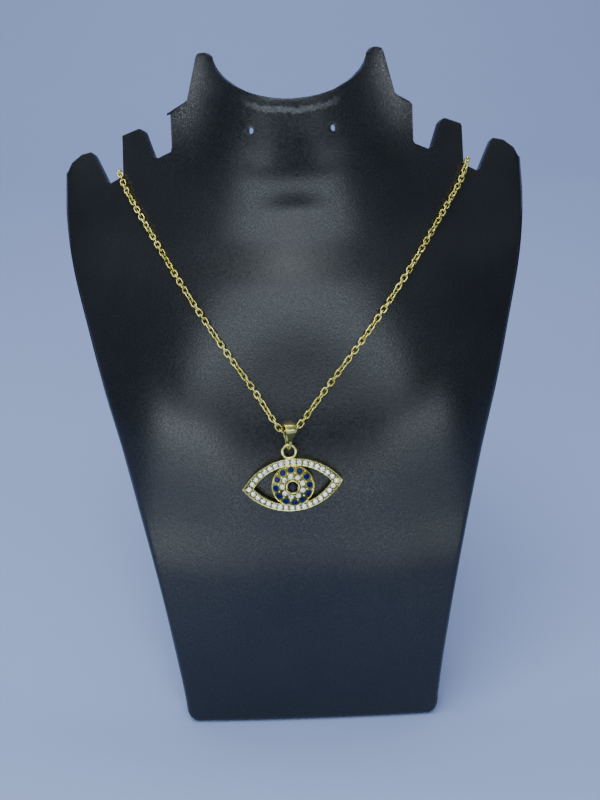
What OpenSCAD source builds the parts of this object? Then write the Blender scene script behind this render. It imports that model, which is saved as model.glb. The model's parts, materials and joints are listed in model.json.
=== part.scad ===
// Evil eye pendant on a fine cable chain, hung on a moulded neck bust stand.
// Millimetres, +Z up. The front faces -Y and +X is on the viewer's right.
// The origin is the middle of the flat underside of the stand's foot.

/* [Stand] */
// Height of the stand at its horn tips
stand_h = 167; // [150:1:184]
// Width across the shoulders
shoulder_w = 128; // [114:1:142]
// Width of the foot edge
foot_w = 66.6; // [58:0.2:76]
// Set-back of the neck behind the foot edge
lean_d = 43; // [34:1:52]
// Set-back of the shoulder edges behind the centre line
sweep_d = 39; // [32:1:46]
// Thickness of the moulded sheet
sheet_t = 1.5; // [1.2:0.1:1.8]
// Depth of the turned-back edge along the sides and the foot
return_d = 8; // [6:0.5:11]
// Corner radius at both ends of the foot
foot_r = 2.7; // [2:0.1:4]
// Half-width of the scooped neck opening
scoop_w = 20.2; // [17:0.2:23]
// Depth of the scooped neck opening below the horn tips
scoop_h = 11.1; // [9:0.1:13]
// Width of each horn's tip beside the neck opening
horn_w = 3.2; // [2.8:0.1:4]
// Usual corner radius of the top outline
corner_r = 2; // [1.4:0.1:2.2]
// Radius of the two earring holes
ear_r = 0.8; // [0.6:0.05:1]
// Distance between the two earring holes
ear_gap = 20.6; // [17:0.2:24]
// Distance of the earring holes below the lowest point of the neck opening
ear_below = 7.3; // [5:0.1:10]

/* [Back leg] */
// Width of the leg
leg_w = 30; // [22:1:36]
// Thickness of the leg
leg_t = 2; // [1.6:0.1:2.6]
// Height of the top of the leg's pad
leg_top_z = 114; // [106:1:118]
// Length of the pad that lies along the back of the chest
leg_pad = 16; // [12:1:22]
// Distance from the foot edge back to the leg's heel
leg_reach = 50; // [44:1:56]
// Length of the leg's toe on the floor
leg_toe = 8; // [5:0.5:10]

/* [Eye pendant] */
// Length of the eye from tip to tip
eye_l = 24.9; // [22:0.1:28]
// Height of the eye
eye_h = 13.2; // [12.4:0.1:14]
// Depth of the eye's outline band from front to back
eye_d = 2; // [1.8:0.1:2.4]
// Length of the opening inside the band
opening_l = 19.4; // [17:0.1:20.4]
// Height of the opening inside the band
opening_h = 9.9; // [9.6:0.1:10.2]
// Diameter of the iris disc
iris_dia = 10.7; // [10.5:0.1:11]
// Place of the iris below the middle of the eye
iris_drop = 0.25; // [0.1:0.05:0.3]
// Thickness of the iris disc at its rim
iris_rim = 1.3; // [1.1:0.1:1.4]
// Rise of the domed iris above its rim
iris_rise = 1.3; // [1:0.1:1.5]
// Outer diameter of the collar round the pupil stone
collar_dia = 3.5; // [3.3:0.1:3.7]
// Rise of the collar above the top of the dome
collar_rise = 0.35; // [0.2:0.05:0.5]
// Outer diameter of the ring on top of the eye
ring_dia = 4.1; // [4:0.1:4.4]
// Wire thickness of that ring
ring_wire = 0.75; // [0.7:0.05:0.8]
// How deep the ring is soldered into the band
ring_sink = 0.35; // [0.25:0.05:0.4]
// Place of the iris to the left of the stand's middle
eye_left = 3; // [1:0.5:5]
// Height of the iris above the floor
eye_z = 67.1; // [63:0.1:70]
// Turn of the eye in its own plane, right end up
eye_tilt = 4.2; // [2:0.1:6]
// Space between the back of the eye and the chest
eye_gap = 0.5; // [0.4:0.1:0.8]

/* [Stones] */
// Diameter of the white stones along the outline
outline_stone = 1.25; // [1.1:0.05:1.3]
// Number of outline stones between the tips on each arc
outline_count = 16; // [14:1:17]
// Diameter of the blue stones
blue_stone = 1.5; // [1.4:0.05:1.6]
// Distance of the blue stones from the middle of the iris
blue_ring = 4.2; // [4.05:0.05:4.3]
// Diameter of the white stones in the iris
white_stone = 1.3; // [1.2:0.05:1.35]
// Distance of the white stones from the middle of the iris
white_ring = 2.6; // [2.55:0.05:2.7]
// Diameter of the dark pupil stone
pupil_stone = 2.6; // [2.4:0.1:2.7]
// Clearance between a stone and its seat
stone_gap = 0.1; // [0.1:0.01:0.12]
// How far a stone's table stands above its seat
stone_proud = 0.15; // [0.1:0.05:0.25]

/* [Bail and chain] */
// Width of the bail's strap at its top
bail_top_w = 3; // [2.6:0.1:3.4]
// Width of the bail's strap at its bottom
bail_foot_w = 0.7; // [0.65:0.05:0.75]
// Thickness of the bail's strap
bail_t = 0.35; // [0.3:0.05:0.4]
// Inner radius of the bail's bottom fold
bail_foot_r = 0.85; // [0.8:0.01:0.9]
// Inner radius of the bail's top fold
bail_top_r = 1.2; // [1.1:0.05:1.3]
// Distance between the middles of the two folds
bail_rise = 4; // [3.7:0.1:4.4]
// Turn of the bail about its own height
bail_turn = 25; // [18:1:27]
// Outer length of a chain link
link_l = 2.4; // [2.2:0.05:2.6]
// Outer width of a chain link
link_w = 1.65; // [1.55:0.05:1.7]
// Wire thickness of a chain link
link_wire = 0.38; // [0.34:0.01:0.4]
// Clearance where two links hook into each other
link_gap = 0.22; // [0.18:0.01:0.25]
// Roll from one link to the next
link_roll = 101; // [90:1:108]
// Space between the chain and what it lies on
chain_gap = 0.2; // [0.15:0.05:0.4]
// Real length of the whole necklace, from end to end of its loop
necklace_l = 450; // [430:5:455]
// Thickness of the chain where it hangs behind the stand
back_chain = 1.3; // [1.1:0.1:1.5]
// Length of the clasp
clasp_l = 9; // [8:0.5:11]
// Width of the clasp
clasp_w = 4.2; // [3.8:0.1:5]
// Thickness of the clasp
clasp_t = 1.4; // [1.2:0.1:1.8]

/* [Hidden] */
// Stones in each ring of the iris
blue_count = 12;
white_count = 9;

black_sheet = [0.13, 0.15, 0.18];
gold = [0.86, 0.78, 0.45];
clear_stone = [0.93, 0.95, 1];
blue = [0.07, 0.12, 0.6];
dark_blue = [0.06, 0.06, 0.15];

// Sections of the stand from the floor up. The columns are the height as a share of stand_h,
// the centre line's set-back as a share of lean_d, the further set-back half-way out and at the
// edge as shares of sweep_d, and the widening from the foot to the shoulders.
sections = [
    [0.00, 0.000, 0.003, 0.015, 0.00],
    [0.13, 0.033, 0.008, 0.050, 0.08],
    [0.25, 0.098, 0.020, 0.130, 0.21],
    [0.335, 0.172, 0.038, 0.220, 0.33],
    [0.42, 0.247, 0.060, 0.320, 0.46],
    [0.50, 0.335, 0.087, 0.435, 0.61],
    [0.585, 0.456, 0.123, 0.565, 0.765],
    [0.67, 0.614, 0.170, 0.690, 0.92],
    [0.74, 0.758, 0.225, 0.780, 1.00],
    [0.815, 0.851, 0.300, 0.845, 1.00],
    [0.885, 0.902, 0.400, 0.920, 0.99],
    [0.96, 0.953, 0.475, 0.975, 0.985],
    [1.02, 1.000, 0.510, 1.000, 0.98]];

// Low relief of the chest. The columns are the place across as a share of shoulder_w, the
// height as a share of stand_h, the reach across and up as the same shares, and the set-back
// as a share of sweep_d.
relief = [
    [0.000, 0.785, 0.09, 0.027, 0.036],
    [0.000, 0.560, 0.16, 0.080, 0.030],
    [-0.250, 0.500, 0.13, 0.090, -0.030],
    [0.250, 0.500, 0.13, 0.090, -0.030]];

// Corners of the right half of the top outline, from the shoulder to the horn. The columns are
// the place out as a share of the way from the horn's outer edge to the shoulder's, the height
// as a share of stand_h and the corner radius as a share of corner_r.
outline = [
    [0.990, 0.8220, 0.90],
    [0.785, 0.8500, 0.75],
    [0.662, 0.8010, 0.75],
    [0.550, 0.8150, 0.80],
    [0.560, 0.8730, 0.60],
    [0.410, 0.8870, 0.90],
    [0.320, 0.8420, 0.80],
    [0.195, 0.8560, 0.75],
    [0.198, 0.9130, 0.75],
    [0.079, 0.9290, 1.00],
    [0.023, 0.9760, 1.50],
    [0.000, 1.0000, 0.70]];
// Corner radius of the horn's inner tip, as a share of corner_r
horn_round = 0.7;
horn_out = scoop_w + horn_w;
function outline_x(k) = lerp(horn_out, shoulder_w / 2, outline[k][0]);
function outline_z(k) = outline[k][1] * stand_h;

// Columns and rows of points on the stand's skin, with the rows that round its foot corners
shell_cols = 32;
shell_rows = 38;
corner_rows = 3;
// Height of the uncut sheet above the horn tips, and the reach of the tools that cut it
blank_over = 2;
far_out = 40;
// Sides of a round thing
fine = 48;
// How far a cutting shape reaches past what it cuts
cut_over = 1;
// Distance over which a slope of the stand's surface is taken
slope_step = sheet_t / 3;

function lerp(a, b, t) = a + (b - a) * t;
function unit(v) = v / norm(v);
function sum(v, i = 0) = i >= len(v) ? 0 : v[i] + sum(v, i + 1);
function flat(v) = [for (a = v) for (b = a) b];
function smooth(t) = let (s = min(1, max(0, t))) s * s * (3 - 2 * s);

// Smooth reading of the section table
function row_under(s, i = 0) = i >= len(sections) - 2 || s < sections[i + 1][0] ? i : row_under(s, i + 1);
section_slopes = [for (i = [0:len(sections) - 1])
    let (a = sections[max(0, i - 1)], b = sections[min(len(sections) - 1, i + 1)]) (b - a) / (b[0] - a[0])];
function section(z) =
    let (s = z / stand_h, i = row_under(s), h = sections[i + 1][0] - sections[i][0],
         t = (s - sections[i][0]) / h)
    (2 * t^3 - 3 * t^2 + 1) * sections[i] + (t^3 - 2 * t^2 + t) * h * section_slopes[i]
    + (3 * t^2 - 2 * t^3) * sections[i + 1] + (t^3 - t^2) * h * section_slopes[i + 1];

function half_w(z) = foot_w / 2 + (shoulder_w - foot_w) / 2 * section(z)[4];
function relief_y(x, z) = sum([for (r = relief)
    r[4] * sweep_d * exp(-((x / shoulder_w - r[0]) / r[2])^2 - ((z / stand_h - r[1]) / r[3])^2)]);

// Place of the stand's front surface behind the point x, z
function front_y(x, z) =
    let (q = section(z), s = abs(x) / half_w(z), mid = q[2] * sweep_d, edge = q[3] * sweep_d,
         a = (16 * mid - edge) / 3)
    -return_d / 2 + q[1] * lean_d + a * s^2 + (edge - a) * s^4 + relief_y(x, z);
function slope_x(x, z) = (front_y(x + slope_step, z) - front_y(x - slope_step, z)) / (2 * slope_step);
function slope_z(x, z) = (front_y(x, z + slope_step) - front_y(x, z - slope_step)) / (2 * slope_step);
function stretch(x, z) = norm([1, slope_x(x, z), slope_z(x, z)]);

// Shell of the stand: an outer and an inner skin of points, and the turned-back edge
function row_z(j, inset) = j < corner_rows
    ? inset + (foot_r - inset) * (1 - cos(90 * j / corner_rows))
    : lerp(foot_r, stand_h + blank_over, (j - corner_rows) / (shell_rows - corner_rows));
function row_half(j, inset) =
    let (z = row_z(j, inset), r = foot_r - inset, under = max(0, foot_r - z))
    half_w(z) - inset - r + sqrt(r^2 - under^2);
function skin_point(j, i, inset) =
    let (z = row_z(j, inset), x = (2 * i / shell_cols - 1) * row_half(j, inset))
    [x, front_y(x, z) + inset * stretch(x, z), z];
rim_steps = concat(
    [for (j = [shell_rows:-1:0]) [j, 0]],
    [for (i = [1:shell_cols - 1]) [0, i]],
    [for (j = [0:shell_rows]) [j, shell_cols]]);

module shell_blank() {
    per_row = shell_cols + 1;
    skin = per_row * (shell_rows + 1);
    rim = len(rim_steps);
    outer = [for (j = [0:shell_rows]) for (i = [0:shell_cols]) skin_point(j, i, 0)];
    inner = [for (j = [0:shell_rows]) for (i = [0:shell_cols]) skin_point(j, i, sheet_t)];
    outer_back = [for (s = rim_steps) outer[s[0] * per_row + s[1]] + [0, return_d, 0]];
    inner_back = [for (k = [0:rim - 1])
        let (s = rim_steps[k], p = inner[s[0] * per_row + s[1]]) [p[0], outer_back[k][1], p[2]]];
    function o(j, i) = j * per_row + i;
    function n(j, i) = skin + j * per_row + i;
    function ob(k) = 2 * skin + k;
    function nb(k) = 2 * skin + rim + k;
    function quad(a, b, c, d) = [[a, b, c], [a, c, d]];
    faces = flat(concat(
        [for (j = [0:shell_rows - 1]) for (i = [0:shell_cols - 1])
            quad(o(j, i), o(j + 1, i), o(j + 1, i + 1), o(j, i + 1))],
        [for (j = [0:shell_rows - 1]) for (i = [0:shell_cols - 1])
            quad(n(j, i), n(j, i + 1), n(j + 1, i + 1), n(j + 1, i))],
        [for (k = [0:rim - 2]) let (s = rim_steps[k], e = rim_steps[k + 1])
            quad(o(s[0], s[1]), o(e[0], e[1]), ob(k + 1), ob(k))],
        [for (k = [0:rim - 2]) let (s = rim_steps[k], e = rim_steps[k + 1])
            quad(n(s[0], s[1]), nb(k), nb(k + 1), n(e[0], e[1]))],
        [for (k = [0:rim - 2]) quad(ob(k), ob(k + 1), nb(k + 1), nb(k))],
        [for (i = [0:shell_cols - 1])
            quad(o(shell_rows, i), n(shell_rows, i), n(shell_rows, i + 1), o(shell_rows, i + 1))],
        [quad(o(shell_rows, 0), ob(0), nb(0), n(shell_rows, 0)),
         quad(o(shell_rows, shell_cols), n(shell_rows, shell_cols), nb(rim - 1), ob(rim - 1))]));
    polyhedron(concat(outer, inner, outer_back, inner_back), faces);
}

// A corner of a flat outline, rounded with a few points of an arc
function rounded_corner(a, b, c, r, steps = 4) =
    let (u = unit(a - b), v = unit(c - b), half = acos(max(-1, min(1, u * v))) / 2,
         t = r / tan(half), mid = b + unit(u + v) * r / sin(half),
         p = b + u * t - mid, q = b + v * t - mid, turn = 180 - 2 * half)
    [for (k = [0:steps]) let (s = k / steps)
        mid + (sin((1 - s) * turn) * p + sin(s * turn) * q) / sin(turn)];

// Everything above the top outline, from the right shoulder over the neck to the left
function top_outline() =
    let (start = [shoulder_w / 2 + far_out, outline_z(0)],
         pts = [for (k = [0:len(outline) - 1]) [outline_x(k), outline_z(k)]],
         round = [for (p = outline) p[2], horn_round],
         closed = concat([start], pts, [[scoop_w, stand_h]], [scoop_outline()[0]]))
    [for (i = [0:len(pts)])
        each rounded_corner(closed[i], closed[i + 1], closed[i + 2], round[i] * corner_r)];
// The neck opening is a lower half ellipse that starts this many degrees below the horn tips
scoop_start = 8;
function scoop_outline(steps = 22) = [for (k = [0:steps])
    let (a = -lerp(scoop_start, 180 - scoop_start, k / steps)) [scoop_w * cos(a), stand_h + scoop_h * sin(a)]];
function mirrored(v) = [for (i = [len(v) - 1:-1:0]) [-v[i][0], v[i][1]]];

module top_cut() {
    right = top_outline();
    far_x = shoulder_w / 2 + far_out;
    low = outline_z(0);
    depth = lean_d + 2 * sweep_d + far_out;
    translate([0, depth, 0]) rotate([90, 0, 0]) linear_extrude(height = 2 * depth)
        polygon(concat([[far_x, low]], right, scoop_outline(), mirrored(right),
            [[-far_x, low], [-far_x, stand_h + far_out], [far_x, stand_h + far_out]]));
}

ear_z = stand_h - scoop_h - ear_below;
module stand_shell() {
    color(black_sheet) difference() {
        shell_blank();
        top_cut();
        for (side = [-1, 1])
            translate([side * ear_gap / 2, lean_d + sweep_d, ear_z]) rotate([90, 0, 0])
                cylinder(r = ear_r, h = lean_d + 2 * sweep_d, $fn = fine);
    }
}

// A flat strip of even thickness along a line of points
function side_of(a, b, t) = let (d = unit(b - a)) t / 2 * [-d[1], d[0]];
function mitre(a, b, c, t) =
    let (m = side_of(a, b, t), n = side_of(b, c, t), s = m + n) b + s * (t * t / 4) / (s * m);
function strip_edge(p, t) = concat(
    [p[0] + side_of(p[0], p[1], t)],
    [for (i = [1:len(p) - 2]) mitre(p[i - 1], p[i], p[i + 1], t)],
    [p[len(p) - 1] + side_of(p[len(p) - 2], p[len(p) - 1], t)]);
function reversed(v) = [for (i = [len(v) - 1:-1:0]) v[i]];
function strip(p, t) = concat(strip_edge(p, t), strip_edge(reversed(p), t));

// The leg's pad lies this far behind the back of the chest
leg_seat = 0.3;
function leg_back(z) =
    let (x = leg_w / 2) front_y(x, z) + (sheet_t + leg_seat + leg_t / 2) * stretch(x, z);
leg_knee_z = leg_top_z - leg_pad;
leg_line = [
    [leg_back(leg_top_z), leg_top_z],
    [leg_back(leg_knee_z), leg_knee_z],
    [leg_reach - return_d / 2, leg_t / 2],
    [leg_reach - return_d / 2 + leg_toe, leg_t / 2]];

module stand_leg() {
    color(black_sheet) translate([-leg_w / 2, 0, 0])
        rotate([90, 0, 90]) linear_extrude(height = leg_w) polygon(strip(leg_line, leg_t));
}

// Place of the pendant: flat against the chest, turned a little in its own plane
eye_x = -eye_left;
eye_lean = atan(slope_z(eye_x, eye_z));
eye_off = eye_gap + eye_d / 2;
eye_place = [eye_x, front_y(eye_x, eye_z), eye_z] + eye_off * [0, -cos(eye_lean), sin(eye_lean)];
ring_mid_r = (ring_dia - ring_wire) / 2;
ring_z = eye_h / 2 - ring_sink + ring_dia / 2;
hinge_z = ring_z + ring_mid_r;
function eye_to_world(p) =
    let (t = eye_tilt, l = eye_lean, a = [p[0] * cos(t) - p[2] * sin(t), p[1], p[0] * sin(t) + p[2] * cos(t)])
    eye_place + [a[0], a[1] * cos(l) + a[2] * sin(l), -a[1] * sin(l) + a[2] * cos(l)];
hinge = eye_to_world([0, 0, hinge_z]);

module at_eye() {
    translate(eye_place) rotate([-eye_lean, 0, 0]) rotate([0, -eye_tilt, 0]) children();
}

// Points of an eye shape made of two arcs that meet at its tips
function arc_radius(l, h) = (l * l / 4 + h * h / 4) / h;
function arc_half(l, h) = asin(l / 2 / arc_radius(l, h));
function arc_point(l, h, t, up) =
    let (r = arc_radius(l, h), a = arc_half(l, h) * t) [r * sin(a), up * (r * cos(a) - r + h / 2)];
function eye_shape(l, h, steps) = concat(
    [for (k = [-steps:steps]) arc_point(l, h, k / steps, 1)],
    [for (k = [steps - 1:-1:-steps + 1]) arc_point(l, h, k / steps, -1)]);

// Stones are round, with a table, eight crown facets and eight pavilion facets. Their parts are
// shares of the diameter.
culet_part = 0.12;
crown_part = 0.16;
girdle_part = 0.06;
pavilion_part = 0.34;
table_part = 0.58;
stone_sides = 8;
module stone(dia) {
    rings = [[culet_part, -pavilion_part - girdle_part], [1, -girdle_part], [1, 0], [table_part, crown_part]];
    pts = [for (r = rings) for (k = [0:stone_sides - 1])
        let (a = 360 * k / stone_sides) dia * [r[0] / 2 * cos(a), r[0] / 2 * sin(a), r[1]]];
    sides = [for (j = [0:len(rings) - 2]) for (k = [0:stone_sides - 1])
        let (m = (k + 1) % stone_sides, a = j * stone_sides, b = a + stone_sides) [a + k, b + k, b + m, a + m]];
    top = (len(rings) - 1) * stone_sides;
    polyhedron(pts, concat([[for (k = [0:stone_sides - 1]) k]], sides,
        [[for (k = [stone_sides - 1:-1:0]) top + k]]));
}
function stone_sink(dia) = crown_part * dia - stone_proud;
function seat_depth(dia) = stone_sink(dia) + (girdle_part + pavilion_part) * dia + stone_gap;

// A seat is drilled to take a stone with its clearance
seat_sides = 12;
module seat(dia) {
    translate([0, 0, -seat_depth(dia)])
        cylinder(r = (dia / 2 + stone_gap) / cos(180 / seat_sides), h = seat_depth(dia) + dia, $fn = seat_sides);
}
module seated_stone(dia) {
    translate([0, 0, -stone_sink(dia)]) stone(dia);
}

// Seats along the outline, on the eye shape midway between the band's two edges
tip_in = 0.25;
row_l = (eye_l + opening_l) / 2 - 2 * tip_in;
row_h = (eye_h + opening_h) / 2;
module each_outline_place() {
    for (up = [-1, 1]) for (k = [0:outline_count + 1])
        if (up > 0 || (k > 0 && k <= outline_count)) {
            p = arc_point(row_l, row_h, 2 * k / (outline_count + 1) - 1, up);
            translate([p[0], -eye_d / 2, p[1]]) rotate([90, 0, 0]) children();
        }
}

// The iris disc lies a little in front of the band's back, and its seats stand square to the dome
iris_fore = 0.4;
iris_back = eye_d / 2 - iris_fore;
iris_edge_y = iris_back - iris_rim;
dome_r = (iris_dia^2 / 4 + iris_rise^2) / (2 * iris_rise);
dome_y = iris_edge_y - iris_rise + dome_r;
// Angle of the first stone of each ring
blue_turn = 90;
white_turn = 95;
module on_dome(ring, angle) {
    translate([0, dome_y, -iris_drop]) rotate([0, -angle, 0]) rotate([0, 0, asin(ring / dome_r)])
        translate([0, -dome_r, 0]) rotate([90, 0, 0]) children();
}
module blue_place(k) {
    on_dome(blue_ring, blue_turn - 360 / blue_count * (k - 1)) children();
}
module white_place(k) {
    on_dome(white_ring, white_turn - 360 / white_count * (k - 1)) children();
}
collar_y = iris_edge_y - iris_rise - collar_rise;

module iris_disc() {
    rim_y = iris_edge_y - iris_rise;
    translate([0, 0, -iris_drop]) intersection() {
        translate([0, dome_y, 0]) rotate([90, 0, 0]) sphere(r = dome_r, $fn = 2 * fine);
        translate([0, iris_back, 0]) rotate([90, 0, 0])
            cylinder(d = iris_dia, h = iris_back - rim_y + cut_over, $fn = 2 * fine);
    }
    translate([0, iris_edge_y, -iris_drop]) rotate([90, 0, 0])
        cylinder(d = collar_dia, h = iris_edge_y - collar_y, $fn = fine);
}

eye_steps = 14;
module eye_setting() {
    color(gold) at_eye() difference() {
        union() {
            translate([0, eye_d / 2, 0]) rotate([90, 0, 0]) linear_extrude(height = eye_d) difference() {
                polygon(eye_shape(eye_l, eye_h, eye_steps));
                polygon(eye_shape(opening_l, opening_h, eye_steps));
            }
            iris_disc();
            translate([0, 0, ring_z]) rotate([90, 0, 0])
                rotate_extrude($fn = fine) translate([ring_mid_r, 0]) circle(d = ring_wire, $fn = fine);
        }
        each_outline_place() seat(outline_stone);
        for (k = [1:blue_count]) blue_place(k) seat(blue_stone);
        for (k = [1:white_count]) white_place(k) seat(white_stone);
        translate([0, collar_y, -iris_drop]) rotate([90, 0, 0]) seat(pupil_stone);
    }
}

module outline_stones() {
    color(clear_stone) at_eye() each_outline_place() seated_stone(outline_stone);
}
module pupil() {
    color(dark_blue) at_eye() translate([0, collar_y, -iris_drop]) rotate([90, 0, 0])
        seated_stone(pupil_stone);
}
module blue_stone_at(k) {
    color(blue) at_eye() blue_place(k) seated_stone(blue_stone);
}
module white_stone_at(k) {
    color(clear_stone) at_eye() white_place(k) seated_stone(white_stone);
}

// The bail is one strap folded round the ring below and the chain above. Its top leans forward.
bail_fore = 0.9;
bail_arc = 12;
function bail_loop(grow) =
    let (a = [0, 0], b = [-bail_fore, bail_rise], d = b - a, len_ab = norm(d), aim = atan2(d[1], d[0]),
         ra = bail_foot_r + grow, rb = bail_top_r + grow, open = acos((ra - rb) / len_ab))
    concat([for (k = [0:bail_arc]) let (t = aim + open + (360 - 2 * open) * k / bail_arc)
               a + ra * [cos(t), sin(t)]],
           [for (k = [0:bail_arc]) let (t = aim - open + 2 * open * k / bail_arc)
               b + rb * [cos(t), sin(t)]]);
bail_top_z = bail_rise + bail_top_r + bail_t + cut_over;
bail_low_z = -bail_foot_r - bail_t - cut_over;
module bail() {
    color(gold) translate(hinge) rotate([-eye_lean, 0, 0]) rotate([0, 0, bail_turn]) intersection() {
        translate([-bail_top_w, 0, 0]) rotate([90, 0, 90]) linear_extrude(height = 2 * bail_top_w)
            difference() {
                polygon(bail_loop(bail_t));
                polygon(bail_loop(0));
            }
        translate([0, far_out / 2, 0]) rotate([90, 0, 0]) linear_extrude(height = far_out)
            polygon([for (s = [[-1, bail_foot_w, bail_low_z], [1, bail_foot_w, bail_low_z],
                               [1, bail_foot_w, bail_foot_r], [1, bail_top_w, bail_rise],
                               [1, bail_top_w, bail_top_z], [-1, bail_top_w, bail_top_z],
                               [-1, bail_top_w, bail_rise], [-1, bail_foot_w, bail_foot_r]])
                [s[0] * s[1] / 2, s[2]]]);
    }
}

// Route of the chain in front: up from the bail to the outer notches, over their edges and down
link_pitch = link_l - 2 * link_wire - link_gap;
chain_off = link_w / 2 + chain_gap;
wall_gap = 0.3;
notch_x = outline_x(3) + chain_off + wall_gap;
notch_z = lerp(outline_z(3), outline_z(2), (notch_x - outline_x(3)) / (outline_x(2) - outline_x(3)));
// In the bail the line dips below the top fold and turns with a radius of its own
chain_drop = 1;
vertex_leg = 4;
vertex_r = 3;
// Each run comes down to the chest over this length, in so many steps
near_bail = 12;
run_steps = 24;
first_roll = 90;
// Over a notch the line leaves the chest below the edge, rises over it and falls behind it
edge_r = 3;
edge_below = 2.4;
edge_aft = 2.2;
edge_rise = 2.4;
edge_fall = 0.7;
edge_hang = 6;
function bail_to_world(p) =
    let (c = cos(bail_turn), s = sin(bail_turn), a = [p[0] * c - p[1] * s, p[0] * s + p[1] * c, p[2]])
    hinge + [a[0], a[1] * cos(eye_lean) + a[2] * sin(eye_lean), -a[1] * sin(eye_lean) + a[2] * cos(eye_lean)];
vertex = bail_to_world([0, -bail_fore, bail_rise - chain_drop]);
vertex_off = front_y(vertex[0], vertex[2]) - vertex[1];
function over_chest(x, z, far, turned) =
    let (near = chain_off * stretch(x, z), part = smooth(far / near_bail))
    [x, front_y(x, z) - lerp(vertex_off - turned, near, part), z];
function run_start(side) = [side * (notch_x - edge_below), notch_z - edge_below];
function run_aim(side) = unit(run_start(side) - [vertex[0], vertex[2]]);
vertex_low = vertex[2] - vertex_leg * (run_aim(1)[1] + run_aim(-1)[1]) / 4;
function run(side) =
    let (low = [vertex[0], vertex_low], high = run_start(side), far = norm(high - low),
         turned = vertex_leg * run_aim(side)[0] * tan(bail_turn))
    [for (k = [0:run_steps]) let (d = lerp(vertex_leg, far, k / run_steps), p = lerp(low, high, d / far))
        over_chest(p[0], p[1], d - vertex_leg, turned)];
function over_notch(side, from) =
    let (x = side * notch_x, face = front_y(x, notch_z), back = face + sheet_t * stretch(x, notch_z) + edge_aft,
         a = [x, face, notch_z + edge_rise], b = [x, back, notch_z + edge_fall],
         end = [x, back, notch_z - edge_hang])
    concat(rounded_corner(from, a, b, edge_r), rounded_corner(a, b, end, edge_r), [end]);
left_run = run(-1);
right_run = run(1);
left_over = over_notch(-1, left_run[run_steps]);
right_over = over_notch(1, right_run[run_steps]);
front_line = concat(reversed(left_over), reversed(left_run),
    rounded_corner(left_run[0], [vertex[0], vertex[1], vertex_low], right_run[0], vertex_r),
    right_run, right_over);

// Corner cutting rounds the line, and then it is measured along its length
function cut_corners(p) = concat([p[0]],
    [for (i = [0:len(p) - 2]) each [lerp(p[i], p[i + 1], 0.25), lerp(p[i], p[i + 1], 0.75)]],
    [p[len(p) - 1]]);
function lengths(p, i = 0, so_far = 0, out = []) = i >= len(p) ? out
    : let (now = i == 0 ? 0 : so_far + norm(p[i] - p[i - 1])) lengths(p, i + 1, now, concat(out, [now]));
function place_of(d, len_list, lo, hi) = hi - lo <= 1 ? lo
    : let (mid = floor((lo + hi) / 2)) len_list[mid] > d ? place_of(d, len_list, lo, mid)
        : place_of(d, len_list, mid, hi);
function along(p, len_list, d) =
    let (i = place_of(d, len_list, 0, len(p) - 1)) lerp(p[i], p[i + 1],
        (d - len_list[i]) / (len_list[i + 1] - len_list[i]));
chain_line = cut_corners(cut_corners(front_line));
chain_len = lengths(chain_line);
front_l = chain_len[len(chain_len) - 1];
link_count = ceil(front_l / link_pitch);
link_step = front_l / link_count;

// Ends of the links along the line, and a sideways direction that is carried from link to link
ends = [for (k = [0:link_count]) along(chain_line, chain_len, min(front_l, k * link_step))];
function carry(k = 0, side = [1, 0, 0], out = []) = k >= link_count ? out
    : let (d = unit(ends[k + 1] - ends[k]), n = unit(side - (side * d) * d)) carry(k + 1, n, concat(out, [n]));
sideways = carry();

// A link lies along X with its flat side up
module link() {
    bow = (link_w - link_wire) / 2;
    straight = link_l - link_w;
    for (s = [-1, 1]) {
        translate([s * straight / 2, 0, 0]) rotate([0, 0, s * 90 - 180])
            rotate_extrude(angle = 180, $fn = fine) translate([bow, 0]) circle(d = link_wire, $fn = 24);
        translate([-straight / 2, s * bow, 0]) rotate([0, 90, 0])
            cylinder(d = link_wire, h = straight, $fn = 24);
    }
}
module chain_front() {
    color(gold) for (k = [0:link_count - 1]) {
        mid = (ends[k] + ends[k + 1]) / 2;
        d = unit(ends[k + 1] - ends[k]);
        n = sideways[k];
        b = cross(d, n);
        multmatrix([[d[0], n[0], b[0], mid[0]], [d[1], n[1], b[1], mid[1]], [d[2], n[2], b[2], mid[2]]])
            rotate([first_roll + link_roll * k, 0, 0]) link();
    }
}

// Behind the stand the rest of the length hangs in a plain catenary from notch to notch
hang_from = right_over[len(right_over) - 1];
hang_half = hang_from[0];
hang_l = necklace_l - front_l;
function sinh(v) = (exp(v) - exp(-v)) / 2;
function cosh(v) = (exp(v) + exp(-v)) / 2;
function hang_ratio(lo, hi, n) = n == 0 ? lo
    : let (m = (lo + hi) / 2) sinh(m) / m > hang_l / 2 / hang_half ? hang_ratio(lo, m, n - 1)
        : hang_ratio(m, hi, n - 1);
hang_k = hang_ratio(0.1, 6, 30);
hang_a = hang_half / hang_k;
hang_low = hang_from[2] - hang_a * (cosh(hang_k) - 1);
function asinh(v) = ln(v + sqrt(v * v + 1));
function hang_point(side, d) =
    let (v = asinh(d / hang_a)) [side * hang_a * v, hang_from[1], hang_low + hang_a * (cosh(v) - 1)];
hang_rings = 40;
tube_sides = 8;
clasp_play = 0.3;

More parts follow.
